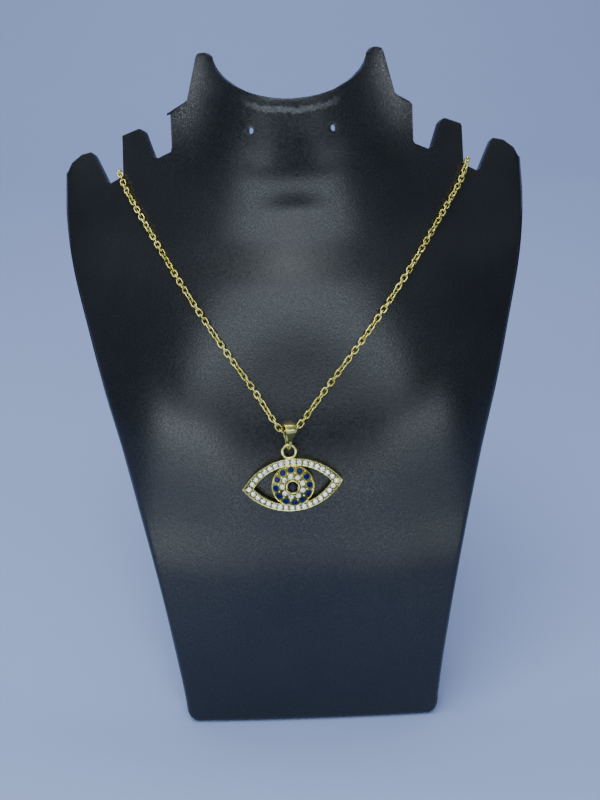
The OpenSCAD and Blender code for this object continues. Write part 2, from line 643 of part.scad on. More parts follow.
module hanging_run(side) {
    d_low = clasp_l / 2 + clasp_play;
    d_high = hang_l / 2 - link_wire - clasp_play;
    line = [for (k = [0:hang_rings - 1]) hang_point(side, lerp(d_low, d_high, k / (hang_rings - 1)))];
    last = hang_rings - 1;
    rings = [for (k = [0:last])
        let (d = unit(line[min(last, k + 1)] - line[max(0, k - 1)]), across = [-d[2], 0, d[0]])
        for (m = [0:tube_sides - 1]) let (a = 360 * m / tube_sides)
            line[k] + back_chain / 2 * (cos(a) * across - sin(a) * [0, 1, 0])];
    sides = [for (k = [0:last - 1]) for (m = [0:tube_sides - 1])
        let (n = (m + 1) % tube_sides, a = k * tube_sides, b = a + tube_sides)
        each [[a + m, b + m, b + n], [a + m, b + n, a + n]]];
    polyhedron(rings, concat([[for (m = [0:tube_sides - 1]) m]], sides,
        [[for (m = [tube_sides - 1:-1:0]) last * tube_sides + m]]));
}
module chain_back() {
    color(gold) for (side = [-1, 1]) hanging_run(side);
}

module clasp() {
    hole_w = clasp_w - 2 * clasp_t;
    color(gold) translate([0, hang_from[1] + clasp_t / 2, hang_low]) rotate([90, 0, 0])
        linear_extrude(height = clasp_t) difference() {
            union() {
                square([clasp_l - clasp_w, clasp_w], center = true);
                for (s = [-1, 1]) translate([s * (clasp_l - clasp_w) / 2, 0]) circle(d = clasp_w, $fn = fine);
            }
            union() {
                square([clasp_l - clasp_w, hole_w], center = true);
                for (s = [-1, 1]) translate([s * (clasp_l - clasp_w) / 2, 0]) circle(d = hole_w, $fn = fine);
            }
        }
}

stand_shell();
stand_leg();
eye_setting();
outline_stones();
pupil();  // pupil_stone
for (k = [1:blue_count]) blue_stone_at(k);
for (k = [1:white_count]) white_stone_at(k);
bail();
chain_front();
chain_back();
clasp();
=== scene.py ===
import bmesh
import bpy
import json
import math
import numpy as np
from mathutils import Matrix, Vector
from mathutils.kdtree import KDTree


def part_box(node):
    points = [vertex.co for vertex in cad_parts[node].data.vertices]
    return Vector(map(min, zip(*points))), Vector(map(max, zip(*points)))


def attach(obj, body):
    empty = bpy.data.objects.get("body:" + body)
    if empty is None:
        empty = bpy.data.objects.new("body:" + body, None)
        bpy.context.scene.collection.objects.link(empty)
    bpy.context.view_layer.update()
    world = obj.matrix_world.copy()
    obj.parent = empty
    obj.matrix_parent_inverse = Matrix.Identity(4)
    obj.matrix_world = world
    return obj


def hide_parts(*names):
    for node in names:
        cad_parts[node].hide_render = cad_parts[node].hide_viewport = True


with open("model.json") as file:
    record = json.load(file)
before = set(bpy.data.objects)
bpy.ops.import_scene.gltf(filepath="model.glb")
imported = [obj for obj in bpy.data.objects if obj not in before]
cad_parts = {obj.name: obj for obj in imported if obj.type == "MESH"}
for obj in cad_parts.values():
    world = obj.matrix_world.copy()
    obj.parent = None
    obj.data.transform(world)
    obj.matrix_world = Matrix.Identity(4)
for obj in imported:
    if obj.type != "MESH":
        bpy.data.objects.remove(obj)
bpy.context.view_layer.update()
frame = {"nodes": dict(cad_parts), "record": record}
mm = 0.001
weld = 0.001 * mm  # points closer than this are one point
sharpTurn = 50  # degrees: modifiers soften the edges that turn more than this

# Camera, from the photo's perspective

camera = {
    "place": (-0.45 * mm, -192.7 * mm, 173.7 * mm),
    "lookDown": 23.0,  # degrees
    "roll": 2.05,  # degrees that the picture leans
    "focalPixels": 900.0,  # in a picture of this width in pixels
    "pictureWidth": 600.0,
    "sensor": 36.0,
    "near": 0.01,
    "far": 20,
}


def addCamera():
    down = math.radians(camera["lookDown"])
    roll = math.radians(camera["roll"])
    ahead = Vector((0, math.cos(down), -math.sin(down)))
    right = Vector((1, 0, 0))
    up = right.cross(ahead)
    tiltedUp = up * math.cos(roll) + right * math.sin(roll)
    tiltedRight = ahead.cross(tiltedUp)
    data = bpy.data.cameras.new("camera")
    data.sensor_fit = "HORIZONTAL"
    data.sensor_width = camera["sensor"]
    data.lens = camera["sensor"] * camera["focalPixels"] / camera["pictureWidth"]
    data.clip_start = camera["near"]
    data.clip_end = camera["far"]
    cam = bpy.data.objects.new("camera", data)
    turn = Matrix((tiltedRight, tiltedUp, -ahead)).transposed().to_4x4()
    cam.matrix_world = Matrix.Translation(camera["place"]) @ turn
    bpy.context.scene.collection.objects.link(cam)
    bpy.context.scene.camera = cam


addCamera()
print("camera set")


# Helpers for meshes

def newObject(name, bm, body, slots=(), smooth=True):
    mesh = bpy.data.meshes.new(name)
    bm.to_mesh(mesh)
    bm.free()
    for slot in slots:
        mesh.materials.append(materials[slot])
    mesh.polygons.foreach_set("use_smooth", [smooth] * len(mesh.polygons))
    obj = bpy.data.objects.new(name, mesh)
    bpy.context.scene.collection.objects.link(obj)
    if body:
        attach(obj, body)
    return obj


def join(bm, part, matrix=None):
    # adds one bmesh to another
    if matrix:
        bmesh.ops.transform(part, matrix=matrix, verts=part.verts)
    mesh = bpy.data.meshes.new("part")
    part.to_mesh(mesh)
    part.free()
    bm.from_mesh(mesh)
    bpy.data.meshes.remove(mesh)


def vertsOf(geom):
    return [g for g in geom if isinstance(g, bmesh.types.BMVert)]


def edgesOf(geom):
    return [g for g in geom if isinstance(g, bmesh.types.BMEdge)]


def closedLoop(bm, points):
    verts = [bm.verts.new(p) for p in points]
    return [bm.edges.new(pair) for pair in zip(verts, verts[1:] + verts[:1])]


def seal(bm):
    bmesh.ops.remove_doubles(bm, verts=bm.verts, dist=weld)
    bmesh.ops.recalc_face_normals(bm, faces=bm.faces)


def slabBetween(bm, loops, depth):
    # fills the space between two loops and gives it a thickness along y
    front = bmesh.ops.bridge_loops(bm, edges=loops)["faces"]
    back = bmesh.ops.extrude_face_region(bm, geom=front)["geom"]
    bmesh.ops.translate(bm, verts=vertsOf(back), vec=(0, depth, 0))
    bmesh.ops.recalc_face_normals(bm, faces=bm.faces)


def wireRing(middle, wire, sides, steps):
    # round wire bent to a ring about the y axis; middle is the radius of its centre line
    part = bmesh.new()
    section = bmesh.ops.create_circle(part, segments=sides, radius=wire / 2,
                                      matrix=Matrix.Translation((middle, 0, 0)))["verts"]
    bmesh.ops.spin(part, geom=section + list(part.edges), cent=(0, 0, 0), axis=(0, 1, 0), dvec=(0, 0, 0),
                   angle=2 * math.pi, steps=steps, use_merge=True)
    seal(part)
    return part


def bevelSharp(bm, width, degrees=40, segments=2):
    sharp = [e for e in bm.edges if len(e.link_faces) == 2 and e.calc_face_angle() > math.radians(degrees)]
    bmesh.ops.bevel(bm, geom=sharp, offset=width, offset_type="OFFSET", segments=segments, profile=0.5,
                    affect="EDGES", clamp_overlap=True, material=-1)


def softenEdges(obj, name, width, segments):
    soft = obj.modifiers.new(name, "BEVEL")
    soft.width = width
    soft.segments = segments
    soft.limit_method = "ANGLE"
    soft.angle_limit = math.radians(sharpTurn)


# Helpers for materials

class Shader:
    # a material with a principled shader, and short ways to add nodes to it
    def __init__(self, name, **sockets):
        self.material = bpy.data.materials.new(name)
        self.material.use_nodes = True
        self.nodes = self.material.node_tree.nodes
        self.links = self.material.node_tree.links
        self.main = self.nodes["Principled BSDF"]
        for key, value in sockets.items():
            self.main.inputs[key.replace("_", " ")].default_value = value
        self.place = self.nodes.new("ShaderNodeTexCoord").outputs["Object"]

    def noise(self, scale, detail=2.0, rough=0.5, distortion=0.0):
        node = self.nodes.new("ShaderNodeTexNoise")
        node.inputs["Scale"].default_value = scale
        node.inputs["Detail"].default_value = detail
        node.inputs["Roughness"].default_value = rough
        node.inputs["Distortion"].default_value = distortion
        self.links.new(self.place, node.inputs["Vector"])
        return node.outputs["Fac"]

    def spread(self, value, low, high, toLow, toHigh):
        node = self.nodes.new("ShaderNodeMapRange")
        limits = {"From Min": low, "From Max": high, "To Min": toLow, "To Max": toHigh}
        for key, limit in limits.items():
            node.inputs[key].default_value = limit
        self.links.new(value, node.inputs["Value"])
        return node.outputs["Result"]

    def math(self, operation, *values):
        node = self.nodes.new("ShaderNodeMath")
        node.operation = operation
        for socket, value in zip(node.inputs, values):
            if isinstance(value, (int, float)):
                socket.default_value = value
            else:
                self.links.new(value, socket)
        return node.outputs[0]

    def blend(self, fac, dark, light):
        # from one tone to another
        node = self.nodes.new("ShaderNodeMix")
        node.data_type = "RGBA"
        node.inputs["A"].default_value = (*dark, 1)
        node.inputs["B"].default_value = (*light, 1)
        self.links.new(fac, node.inputs["Factor"])
        return node.outputs["Result"]

    def mix(self, fac, under, over):
        # a tone over the output of another node
        node = self.nodes.new("ShaderNodeMix")
        node.data_type = "RGBA"
        self.links.new(fac, node.inputs["Factor"])
        self.links.new(under, node.inputs["A"])
        node.inputs["B"].default_value = (*over, 1)
        return node.outputs["Result"]

    def bump(self, height, strength, distance, under=None):
        node = self.nodes.new("ShaderNodeBump")
        node.inputs["Strength"].default_value = strength
        node.inputs["Distance"].default_value = distance
        self.links.new(height, node.inputs["Height"])
        if under:
            self.links.new(under, node.inputs["Normal"])
        return node.outputs["Normal"]

    def into(self, socket, value):
        self.links.new(value, self.main.inputs[socket])


# Sizes of the stand. They come first because the lighter strip under its neck's rim, painted highlight
# together with wear, is placed by them.

stand = {
    "height": 167 * mm,
    "shoulders": 128 * mm,
    "foot": 66.6 * mm,
    "leanBack": 43 * mm,
    "sweepBack": 39 * mm,
    "sheet": 1.5 * mm,
    "turnedBack": 8 * mm,
    "footRadius": 2.7 * mm,
    "edgeRadius": 1.6 * mm,  # rounding between the front and the turned-back edge
    "scoopHalf": 20.2 * mm,
    "scoopDepth": 11.1 * mm,
    "scoopStart": 11.5,  # degrees between the scoop's ends and the level through its middle
    "horn": 3.2 * mm,  # width of a horn's tip
    "corner": 2 * mm,  # usual corner radius of the top outline
    "hornRound": 0.78,  # share of it for the horn's inner corner
    "holeRadius": 0.8 * mm,
    "holeGap": 20.6 * mm,
    "holeDrop": 7.3 * mm,  # below the lowest point of the scoop
    "rim": 0.5 * mm,  # rounding of the cut edges
    "rimSegments": 3,
}
# lighter strip under the neck's rim in front: painted highlight together with wear
rimHighlightAndWear = {
    "reach": 12.5 * mm,  # to each side of the middle
    "belowRim": 2.8 * mm,
    "halfHeight": 0.6 * mm,
    "ragged": 0.5 * mm,
    "raggedScale": 900,
    "fade": 0.4,  # share of its height and reach over which it ends
}
sheetLook = {
    "dark": (0.0045, 0.0058, 0.0075),
    "light": (0.0075, 0.0092, 0.0115),
    "satin": (0.25, 0.29),  # roughness of the broad patches
    "speckle": 0.05,  # more or less of it from grain to grain
    # the lighter tone of the strip under the rim is a painted highlight together with wear
    "rimHighlightAndWearTone": (0.14, 0.15, 0.155),
    "rimHighlightAndWearAmount": 0.9,
    "wornRoughness": 0.25,
    "patchScale": 40,
    "speckScale": 1900,
    "pebbleScale": 2200,
    "pebbleBump": (0.5, 0.075 * mm),  # strength and depth
    "poreScale": 5200,
    "poreBump": (0.16, 0.06 * mm),
}


def blackGrain():
    # moulded black sheet: pebbles with fine pores, in a satin finish that varies a little, and a lighter
    # strip under the neck's rim that is partly painted highlight and partly wear
    look = sheetLook
    s = Shader("blackGrain", Specular_IOR_Level=0.5)
    pebbles = s.noise(look["pebbleScale"], 1)
    specks = s.noise(look["speckScale"], 1)
    pores = s.noise(look["poreScale"], 3, 0.6)
    patches = s.noise(look["patchScale"], 3, 0.55)
    highlightAndWear = rimHighlightAndWearMask(s)
    black = s.blend(s.spread(patches, 0.3, 0.7, 0, 1), look["dark"], look["light"])
    # the strip under the rim is lightened in flecks: painted highlight together with wear
    highlightAndRub = s.math("MULTIPLY", highlightAndWear, s.spread(pores, 0.45, 0.6, 0.0, look["rimHighlightAndWearAmount"]))
    s.into("Base Color", s.mix(highlightAndRub, black, look["rimHighlightAndWearTone"]))
    satin = s.math("ADD", s.spread(patches, 0.3, 0.7, *look["satin"]),
                   s.spread(specks, 0.35, 0.65, -look["speckle"], look["speckle"]))
    s.into("Roughness", s.math("ADD", satin, s.math("MULTIPLY", highlightAndWear, look["wornRoughness"])))
    grain = s.bump(pebbles, *look["pebbleBump"])
    s.into("Normal", s.bump(pores, *look["poreBump"], grain))
    return s.material


def rimHighlightAndWearMask(s):
    # 1 on the strip that follows the neck's rim in front, where a highlight is painted together with wear,
    # and 0 away from it
    apart = s.nodes.new("ShaderNodeSeparateXYZ")
    s.links.new(s.place, apart.inputs[0])
    x, z = apart.outputs["X"], apart.outputs["Z"]
    share = s.math("DIVIDE", x, stand["scoopHalf"])
    square = s.math("SUBTRACT", 1.0, s.math("MULTIPLY", share, share))
    arc = s.math("SQRT", s.math("MAXIMUM", square, 0.0))
    rim = s.math("SUBTRACT", stand["height"], s.math("MULTIPLY", arc, stand["scoopDepth"]))
    off = s.math("ABSOLUTE", s.math("SUBTRACT", s.math("SUBTRACT", rim, z), rimHighlightAndWear["belowRim"]))
    rough = rimHighlightAndWear["ragged"]
    ragged = s.spread(s.noise(rimHighlightAndWear["raggedScale"], 3, 0.6), 0.3, 0.7, -rough, rough)
    half, reach, fade = rimHighlightAndWear["halfHeight"], rimHighlightAndWear["reach"], rimHighlightAndWear["fade"]
    tall = s.spread(s.math("ADD", off, ragged), half * (1 - fade), half * (1 + fade), 1, 0)
    wide = s.spread(s.math("ABSOLUTE", x), reach * (1 - fade), reach, 1, 0)
    return s.math("MULTIPLY", tall, wide)


goldLook = {
    "swirlScale": 420,
    "swirlBump": (0.03, 0.15 * mm),  # strength and depth
    "fineScale": 5200,
    "smoothest": 0.7,  # shares of the usual roughness
    "roughest": 1.35,
}


def polishedGold(name, light, dark, roughness):
    # plated metal with faint swirls from polishing
    s = Shader(name, Metallic=1.0)
    swirls = s.noise(goldLook["swirlScale"], 3, 0.5, 0.4)
    fine = s.noise(goldLook["fineScale"])
    least, most = roughness * goldLook["smoothest"], roughness * goldLook["roughest"]
    s.into("Base Color", s.blend(s.spread(swirls, 0.35, 0.65, 0, 1), dark, light))
    s.into("Roughness", s.spread(fine, 0.3, 0.7, least, most))
    s.into("Normal", s.bump(swirls, *goldLook["swirlBump"]))
    return s.material


stoneLook = {
    "sparkScale": 2600,
    "sparkEdges": (0.38, 0.48),  # where a dark cell ends and a light one starts
    "polishScale": 900,
    "polish": (0.01, 0.05),  # roughness
}


def crystal(name, light, dark, ior, gloss):
    # cut stone: small cells of lighter and darker tone stand for the light inside it
    s = Shader(name, IOR=ior, Specular_IOR_Level=gloss)
    sparks = s.noise(stoneLook["sparkScale"], 1)
    s.into("Base Color", s.blend(s.spread(sparks, *stoneLook["sparkEdges"], 0, 1), dark, light))
    s.into("Roughness", s.spread(s.noise(stoneLook["polishScale"]), 0.3, 0.7, *stoneLook["polish"]))
    return s.material


# lighter tone, darker tone, then roughness of a metal, or refraction and gloss of a stone
materials = {
    "black_sheet": blackGrain(),
    "gold": polishedGold("pendantGold", (0.85, 0.82, 0.33), (0.62, 0.57, 0.13), 0.18),
    # darker gold for the second slot: painted shade on the recessed channel floor and the plate between the
    # iris stones, and a painted dark reflection in the middle of the bail's front
    "seat_gold": polishedGold("goldWithPaintedShade", (0.22, 0.21, 0.05), (0.07, 0.06, 0.01), 0.3),
    "chain_gold": polishedGold("chainGold", (0.85, 0.79, 0.25), (0.60, 0.53, 0.10), 0.2),
    "clear_stone": crystal("clearStone", (1.0, 1.0, 0.94), (0.22, 0.22, 0.17), 2.1, 0.5),
    "blue_stone": crystal("blueStone", (0.003, 0.005, 0.11), (0.001, 0.002, 0.03), 1.45, 0.15),
    "dark_stone": crystal("darkStone", (0.006, 0.006, 0.022), (0.003, 0.003, 0.010), 1.45, 0.1),
}
for part in frame["record"]["subparts"]:
    node = frame["nodes"][part["node"]]
    node.data.materials.clear()
    node.data.materials.append(materials[part["material_slot"]])
print("materials made")


# Floor with a wide round rise behind it, and soft lights

stage = {
    "size": 3.0,
    "back": 0.9,  # where the floor starts to rise
    "riseRadius": 0.8,
    "riseSteps": 12,
    "wall": 1.5,
    "tone": (0.275, 0.36, 0.62),
    "mottle": 0.03,  # share by which the tone varies
    "mottleScale": 3,
    "roughness": 0.75,
    "gloss": 0.3,
    "skyTone": (0.72, 0.78, 0.9),
    "skyStrength": 0.55,
    "horizonTone": (0.19, 0.21, 0.25),
    "skyFrom": 0.25,  # height on the unit ball where the sky starts to brighten
    "skyTo": 0.9,
}


def addStage():
    bm = bmesh.new()
    half = stage["size"] / 2
    ends = [bm.verts.new((-half, -half, 0)), bm.verts.new((half, -half, 0))]
    edges = [bm.edges.new(ends)]
    steps, radius = stage["riseSteps"], stage["riseRadius"]
    profile = [Vector((0, stage["back"], 0))]
    for k in range(1, steps + 1):
        turn = math.pi / 2 * k / steps
        profile.append(Vector((0, stage["back"] + radius * math.sin(turn), radius * (1 - math.cos(turn)))))
    profile.append(profile[-1] + Vector((0, 0, stage["wall"])))
    last = Vector((0, -half, 0))
    for point in profile:
        made = bmesh.ops.extrude_edge_only(bm, edges=edges)["geom"]
        edges = edgesOf(made)
        bmesh.ops.translate(bm, verts=vertsOf(made), vec=point - last)
        last = point
    bmesh.ops.recalc_face_normals(bm, faces=bm.faces)
    floor = newObject("floor", bm, None)
    shader = Shader("paleFloor", Roughness=stage["roughness"], Specular_IOR_Level=stage["gloss"])
    less, more = ([c * (1 + sign * stage["mottle"]) for c in stage["tone"]] for sign in (-1, 1))
    shader.into("Base Color", shader.blend(shader.noise(stage["mottleScale"]), less, more))
    floor.data.materials.append(shader.material)
    addWorld()


def addWorld():
    # darker towards the horizon and brighter overhead
    world = bpy.data.worlds.new("studio")
    world.use_nodes = True
    nodes, links = world.node_tree.nodes, world.node_tree.links
    background = nodes["Background"]
    background.inputs["Strength"].default_value = stage["skyStrength"]
    apart = nodes.new("ShaderNodeSeparateXYZ")
    links.new(nodes.new("ShaderNodeTexCoord").outputs["Generated"], apart.inputs[0])
    rise = nodes.new("ShaderNodeMapRange")
    rise.inputs["From Min"].default_value = stage["skyFrom"]
    rise.inputs["From Max"].default_value = stage["skyTo"]
    links.new(apart.outputs["Z"], rise.inputs["Value"])
    mix = nodes.new("ShaderNodeMix")
    mix.data_type = "RGBA"
    mix.inputs["A"].default_value = (*stage["horizonTone"], 1)
    mix.inputs["B"].default_value = (*stage["skyTone"], 1)
    links.new(rise.outputs["Result"], mix.inputs["Factor"])
    links.new(mix.outputs["Result"], background.inputs["Color"])
    bpy.context.scene.world = world


lamps = {
    # name: place, what it faces, width, height, watts, tone, spread in degrees
    "overhead": ((-0.04, -0.80, 0.62), (0, 0, 0.09), 1.3, 0.25, 3.6, (0.80, 0.93, 1.0), 180),
    "lowLeft": ((-0.39, -0.43, 0.132), (0, 0, 0.09), 0.42, 0.16, 0.82, (0.85, 0.95, 1.0), 180),
    "lowRight": ((0.39, -0.43, 0.132), (0, 0, 0.09), 0.4, 0.16, 0.53, (0.85, 0.95, 1.0), 180),
    "lowFront": ((0.0, -0.5, 0.052), (0, 0, 0.05), 0.46, 0.04, 0.3, (0.88, 0.95, 1.0), 180),
    "hornLeft": ((-0.17, 0.048, 0.19), (-0.025, 0.03, 0.16), 0.03, 0.03, 0.0006, (0.85, 0.93, 1.0), 14),
    "hornRight": ((0.17, 0.048, 0.19), (0.025, 0.03, 0.16), 0.03, 0.03, 0.0006, (0.85, 0.93, 1.0), 14),
    "backdrop": ((-0.12, 0.55, 1.3), (-0.03, 1.5, 0.3), 1.6, 0.6, 15.5, (1.0, 0.97, 1.0), 180),
    "floorWash": ((-0.1, -0.19, 0.66), (-0.05, -0.16, 0), 0.6, 0.3, 3.25, (1.0, 0.99, 1.0), 180),
}


def addLamp(name, place, target, width, height, watts, tone, spread):
    data = bpy.data.lights.new(name, "AREA")
    data.shape = "RECTANGLE"
    data.size = width
    data.size_y = height
    data.energy = watts
    data.color = tone
    data.spread = math.radians(spread)
    lamp = bpy.data.objects.new(name, data)
    lamp.visible_camera = False
    aim = (Vector(target) - Vector(place)).to_track_quat("-Z", "Y")
    lamp.matrix_world = Matrix.Translation(place) @ aim.to_matrix().to_4x4()
    bpy.context.scene.collection.objects.link(lamp)


addStage()
for name, values in lamps.items():
    addLamp(name, *values)
print("stage and lamps set")


# Stand: one moulded sheet, cut along its top outline, with a turned-back edge

standMesh = {
    "columns": 112,
    "rows": 150,
    "crowdSides": 1.25,  # above 1, the columns stand closer near the side edges
    "crowdFoot": 1.12,  # above 1, the rows stand closer near the foot
    "above": 2 * mm,  # the flat sheet reaches this far past the stand's height
    "far": 20 * mm,  # what is cut away reaches this far past the stand
    "scoopSteps": 36,
    "cornerSteps": 5,
    "hair": 0.0001 * mm,  # points this near to a cut lie on it
    "cutReach": 1.6 * mm,  # faces this near to a cut are cut with it
    "merge": 0.12 * mm,  # points of a cut closer than this are one point
    "clear": 0.42 * mm,  # no other point is closer to a cut than this
    "sliver": 0.02 * mm,  # shorter edges at the foot's corners are taken out
    "holeSides": 28,
    "holeClear": 1 * mm,  # width of the squares taken out round a hole
    "edgeWithin": 0.1 * mm,  # edges this near to the sides and the foot are turned back
    "turnedRows": (2.4 * mm, 4.2 * mm, 6.2 * mm),  # depths before the full one
}
# height as a share of the stand's, set-back of the middle as a share of leanBack, set-back half-way out
# and at the edge as shares of sweepBack, and the width from that of the foot, 0, to the shoulders', 1
standSections = [
    (0.00, 0.000, 0.003, 0.015, 0.00),
    (0.13, 0.033, 0.008, 0.050, 0.08),
    (0.25, 0.098, 0.020, 0.130, 0.21),
    (0.335, 0.172, 0.038, 0.220, 0.33),
    (0.42, 0.247, 0.060, 0.320, 0.46),
    (0.50, 0.335, 0.087, 0.435, 0.61),
    (0.585, 0.456, 0.123, 0.565, 0.765),
    (0.67, 0.614, 0.170, 0.690, 0.92),
    (0.74, 0.758, 0.225, 0.780, 1.00),
    (0.815, 0.851, 0.300, 0.845, 1.00),
    (0.885, 0.902, 0.400, 0.920, 0.99),
    (0.96, 0.953, 0.475, 0.975, 0.985),
    (1.02, 1.000, 0.510, 1.000, 0.98),
]
# place across and up, reach across and up, and set-back, as shares of shoulders, height and sweepBack
standRelief = [
    (0.000, 0.778, 0.055, 0.017, 0.013),
    (0.000, 0.826, 0.140, 0.030, 0.012),
    (0.000, 0.560, 0.16, 0.080, 0.030),
    (-0.250, 0.500, 0.13, 0.090, -0.030),
    (0.250, 0.500, 0.13, 0.090, -0.030),
]
# corners of the right half of the top outline: share of the way from the horn's outer edge to the
# shoulder's edge, height, corner radius as a share of the usual one
standOutline = [
    (0.985, 0.8120, 0.50),
    (0.945, 0.8290, 0.80),
    (0.870, 0.8420, 1.00),
    (0.785, 0.8470, 0.75),
    (0.662, 0.8010, 0.75),
    (0.550, 0.8150, 0.80),
    (0.560, 0.8730, 0.60),
    (0.410, 0.8870, 0.90),
    (0.320, 0.8420, 0.80),
    (0.195, 0.8560, 0.75),
    (0.198, 0.9130, 0.75),
    (0.079, 0.9290, 1.00),
    (0.023, 0.9760, 1.50),
    (0.000, 0.9965, 0.95),
]
sectionRows = np.array(standSections)
sectionSlopes = np.gradient(sectionRows, axis=0)
sectionSlopes /= sectionSlopes[:, :1]
outwards = Matrix.Rotation(math.pi / 2, 4, "X")  # turns up into forwards


def sectionAt(z):
    share = z / stand["height"]
    i = min(len(sectionRows) - 2, max(0, int(np.searchsorted(sectionRows[:, 0], share, "right")) - 1))
    h = sectionRows[i + 1, 0] - sectionRows[i, 0]
    t = (share - sectionRows[i, 0]) / h
    return ((2 * t**3 - 3 * t**2 + 1) * sectionRows[i] + (t**3 - 2 * t**2 + t) * h * sectionSlopes[i]
            + (3 * t**2 - 2 * t**3) * sectionRows[i + 1] + (t**3 - t**2) * h * sectionSlopes[i + 1])


def halfWidth(z):
    return (stand["foot"] + (stand["shoulders"] - stand["foot"]) * sectionAt(z)[4]) / 2


def frontY(x, z):
    row = sectionAt(z)
    share = abs(x) / halfWidth(z)
    middle, edge = row[2] * stand["sweepBack"], row[3] * stand["sweepBack"]
    a = (16 * middle - edge) / 3
    y = -stand["turnedBack"] / 2 + row[1] * stand["leanBack"] + a * share**2 + (edge - a) * share**4
    for across, up, reachAcross, reachUp, deep in standRelief:
        y += deep * stand["sweepBack"] * math.exp(-((x / stand["shoulders"] - across) / reachAcross)**2
                                                  - ((z / stand["height"] - up) / reachUp)**2)
    return y


def roundedCorner(a, b, c, radius):
    # points of the arc that rounds corner b between a and c
    steps = standMesh["cornerSteps"]
    u, v = (a - b).normalized(), (c - b).normalized()
    half = math.acos(max(-1, min(1, u.dot(v)))) / 2
    t, middle = radius / math.tan(half), b + (u + v).normalized() * radius / math.sin(half)
    p, q, turn = b + u * t - middle, b + v * t - middle, math.pi - 2 * half
    return [middle + (math.sin((1 - k / steps) * turn) * p + math.sin(k / steps * turn) * q) / math.sin(turn)
            for k in range(steps + 1)]


def topOutline():
    # closed loop round all that is cut away above the stand, in x and z
    w, h = stand["shoulders"] / 2, stand["height"]
    far, steps = standMesh["far"], standMesh["scoopSteps"]
    hornOut = stand["scoopHalf"] + stand["horn"]
    scoop = []
    for k in range(steps + 1):
        a = -math.radians(stand["scoopStart"] + (180 - 2 * stand["scoopStart"]) * k / steps)
        scoop.append(Vector((stand["scoopHalf"] * math.cos(a), h + stand["scoopDepth"] * math.sin(a))))
    low = standOutline[0][1] * h
    corners = [Vector((w + far, low))]
    corners += [Vector((hornOut + x * (w - hornOut), z * h)) for x, z, r in standOutline]
    corners += [Vector((stand["scoopHalf"], standOutline[-1][1] * h)), scoop[0]]
    radii = [r for x, z, r in standOutline] + [stand["hornRound"]]
    right = []
    for i, r in enumerate(radii):
        right += roundedCorner(corners[i], corners[i + 1], corners[i + 2], r * stand["corner"])
    left = [Vector((-p.x, p.y)) for p in reversed(right)]
    return ([Vector((w + far, low))] + right + scoop + left
            + [Vector((-w - far, low)), Vector((-w - far, h + far)), Vector((w + far, h + far))])


def insideLoop(loop, x, z):
    inside = False
    for a, b in zip(loop, loop[1:] + loop[:1]):
        if (a.y > z) != (b.y > z) and x < (b.x - a.x) * (z - a.y) / (b.y - a.y) + a.x:
            inside = not inside
    return inside


def cutAlong(bm, loop):
    # cuts a flat sheet in x and z along a closed loop, and deletes what is inside the loop
    reach, hair = standMesh["cutReach"], standMesh["hair"]
    lowest = min(p.y for p in loop) - reach
    for a, b in zip(loop, loop[1:] + loop[:1]):
        if (b - a).length < hair or min(abs(a.x), abs(b.x)) > stand["shoulders"] / 2 + reach:
            continue
        middle, span = (a + b) / 2, (b - a).length / 2 + reach
        near = []
        for face in bm.faces:
            centre = face.calc_center_median()
            if centre.z > lowest and max(abs(centre.x - middle.x), abs(centre.z - middle.y)) < span:
                near.append(face)
        geom = list({e for f in near for e in f.edges}) + list({v for f in near for v in f.verts}) + near
        side = Vector((b.y - a.y, 0, a.x - b.x))
        bmesh.ops.bisect_plane(bm, geom=geom, dist=hair, plane_co=(a.x, 0, a.y), plane_no=side)
    gone = []
    for face in bm.faces:
        centre = face.calc_center_median()
        if centre.z > lowest and insideLoop(loop, centre.x, centre.z):
            gone.append(face)
    bmesh.ops.delete(bm, geom=gone, context="FACES")


def tidyCut(bm):
    # takes away slivers beside a fresh cut while the sheet is still flat
    rim = [v for v in bm.verts if v.is_boundary]
    bmesh.ops.remove_doubles(bm, verts=rim, dist=standMesh["merge"])
    ends = [(e.verts[0].co, e.verts[1].co) for e in bm.edges if e.is_boundary]
    points = [a.lerp(b, t) for a, b in ends for t in (0, 0.5, 1)]
    tree = KDTree(len(points))
    for k, point in enumerate(points):
        tree.insert(point, k)
    tree.balance()
    close = [v for v in bm.verts if not v.is_boundary and tree.find(v.co)[2] < standMesh["clear"]]
    bmesh.ops.dissolve_verts(bm, verts=close)


def punchHole(bm, x, z):
    # a round hole whose rim is bridged to the squares left round it
    centre = Vector((x, 0, z))
    clear = stand["holeRadius"] + standMesh["holeClear"]
    gone = [f for f in bm.faces if (f.calc_center_median() - centre).length < clear]
    bmesh.ops.delete(bm, geom=gone, context="FACES")
    rim = [e for e in bm.edges if e.is_boundary and all((v.co - centre).length < 2 * clear for v in e.verts)]
    hole = bmesh.ops.create_circle(bm, segments=standMesh["holeSides"], radius=stand["holeRadius"],
                                   matrix=Matrix.Translation(centre) @ outwards)["verts"]
    bmesh.ops.bridge_loops(bm, edges=rim + list({e for v in hole for e in v.link_edges}))


def footDistance(x, z, half):
    # how far a point lies inside the stand's side and foot edges
    r = stand["footRadius"]
    if z < r and abs(x) > half - r:
        return r - math.hypot(abs(x) - (half - r), z - r)
    return min(z, half - abs(x))


